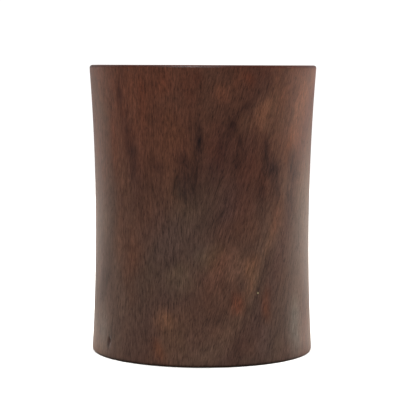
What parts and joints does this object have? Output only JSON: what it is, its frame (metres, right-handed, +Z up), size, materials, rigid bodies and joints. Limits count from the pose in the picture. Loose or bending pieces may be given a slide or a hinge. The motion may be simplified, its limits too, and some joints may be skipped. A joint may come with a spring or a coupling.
{
  "type": "brush holder pot",
  "caption": "Waisted round brush pot of dark rosewood with a softened lip, a recessed underside and a pegged heart plug in its floor; holds writing brushes upright on a desk.",
  "frame": {"origin": "centre of the foot, on the surface that the pot stands on", "axes": "+Z up along the pot's axis; -Y is the side seen in front; +X is to the right of it"},
  "size_m": [0.1268, 0.1267, 0.16],
  "materials": {
    "polished_rosewood": "hand-rubbed wax polish, satin",
    "plug_rosewood": "planed and waxed, dull satin",
    "bamboo": "cut end grain, unpolished"
  },
  "bodies": {
    "root": {"pot_wall": "polished_rosewood", "heart_plug": "plug_rosewood", "plug_pegs": "bamboo"}
  },
  "joints": []
}
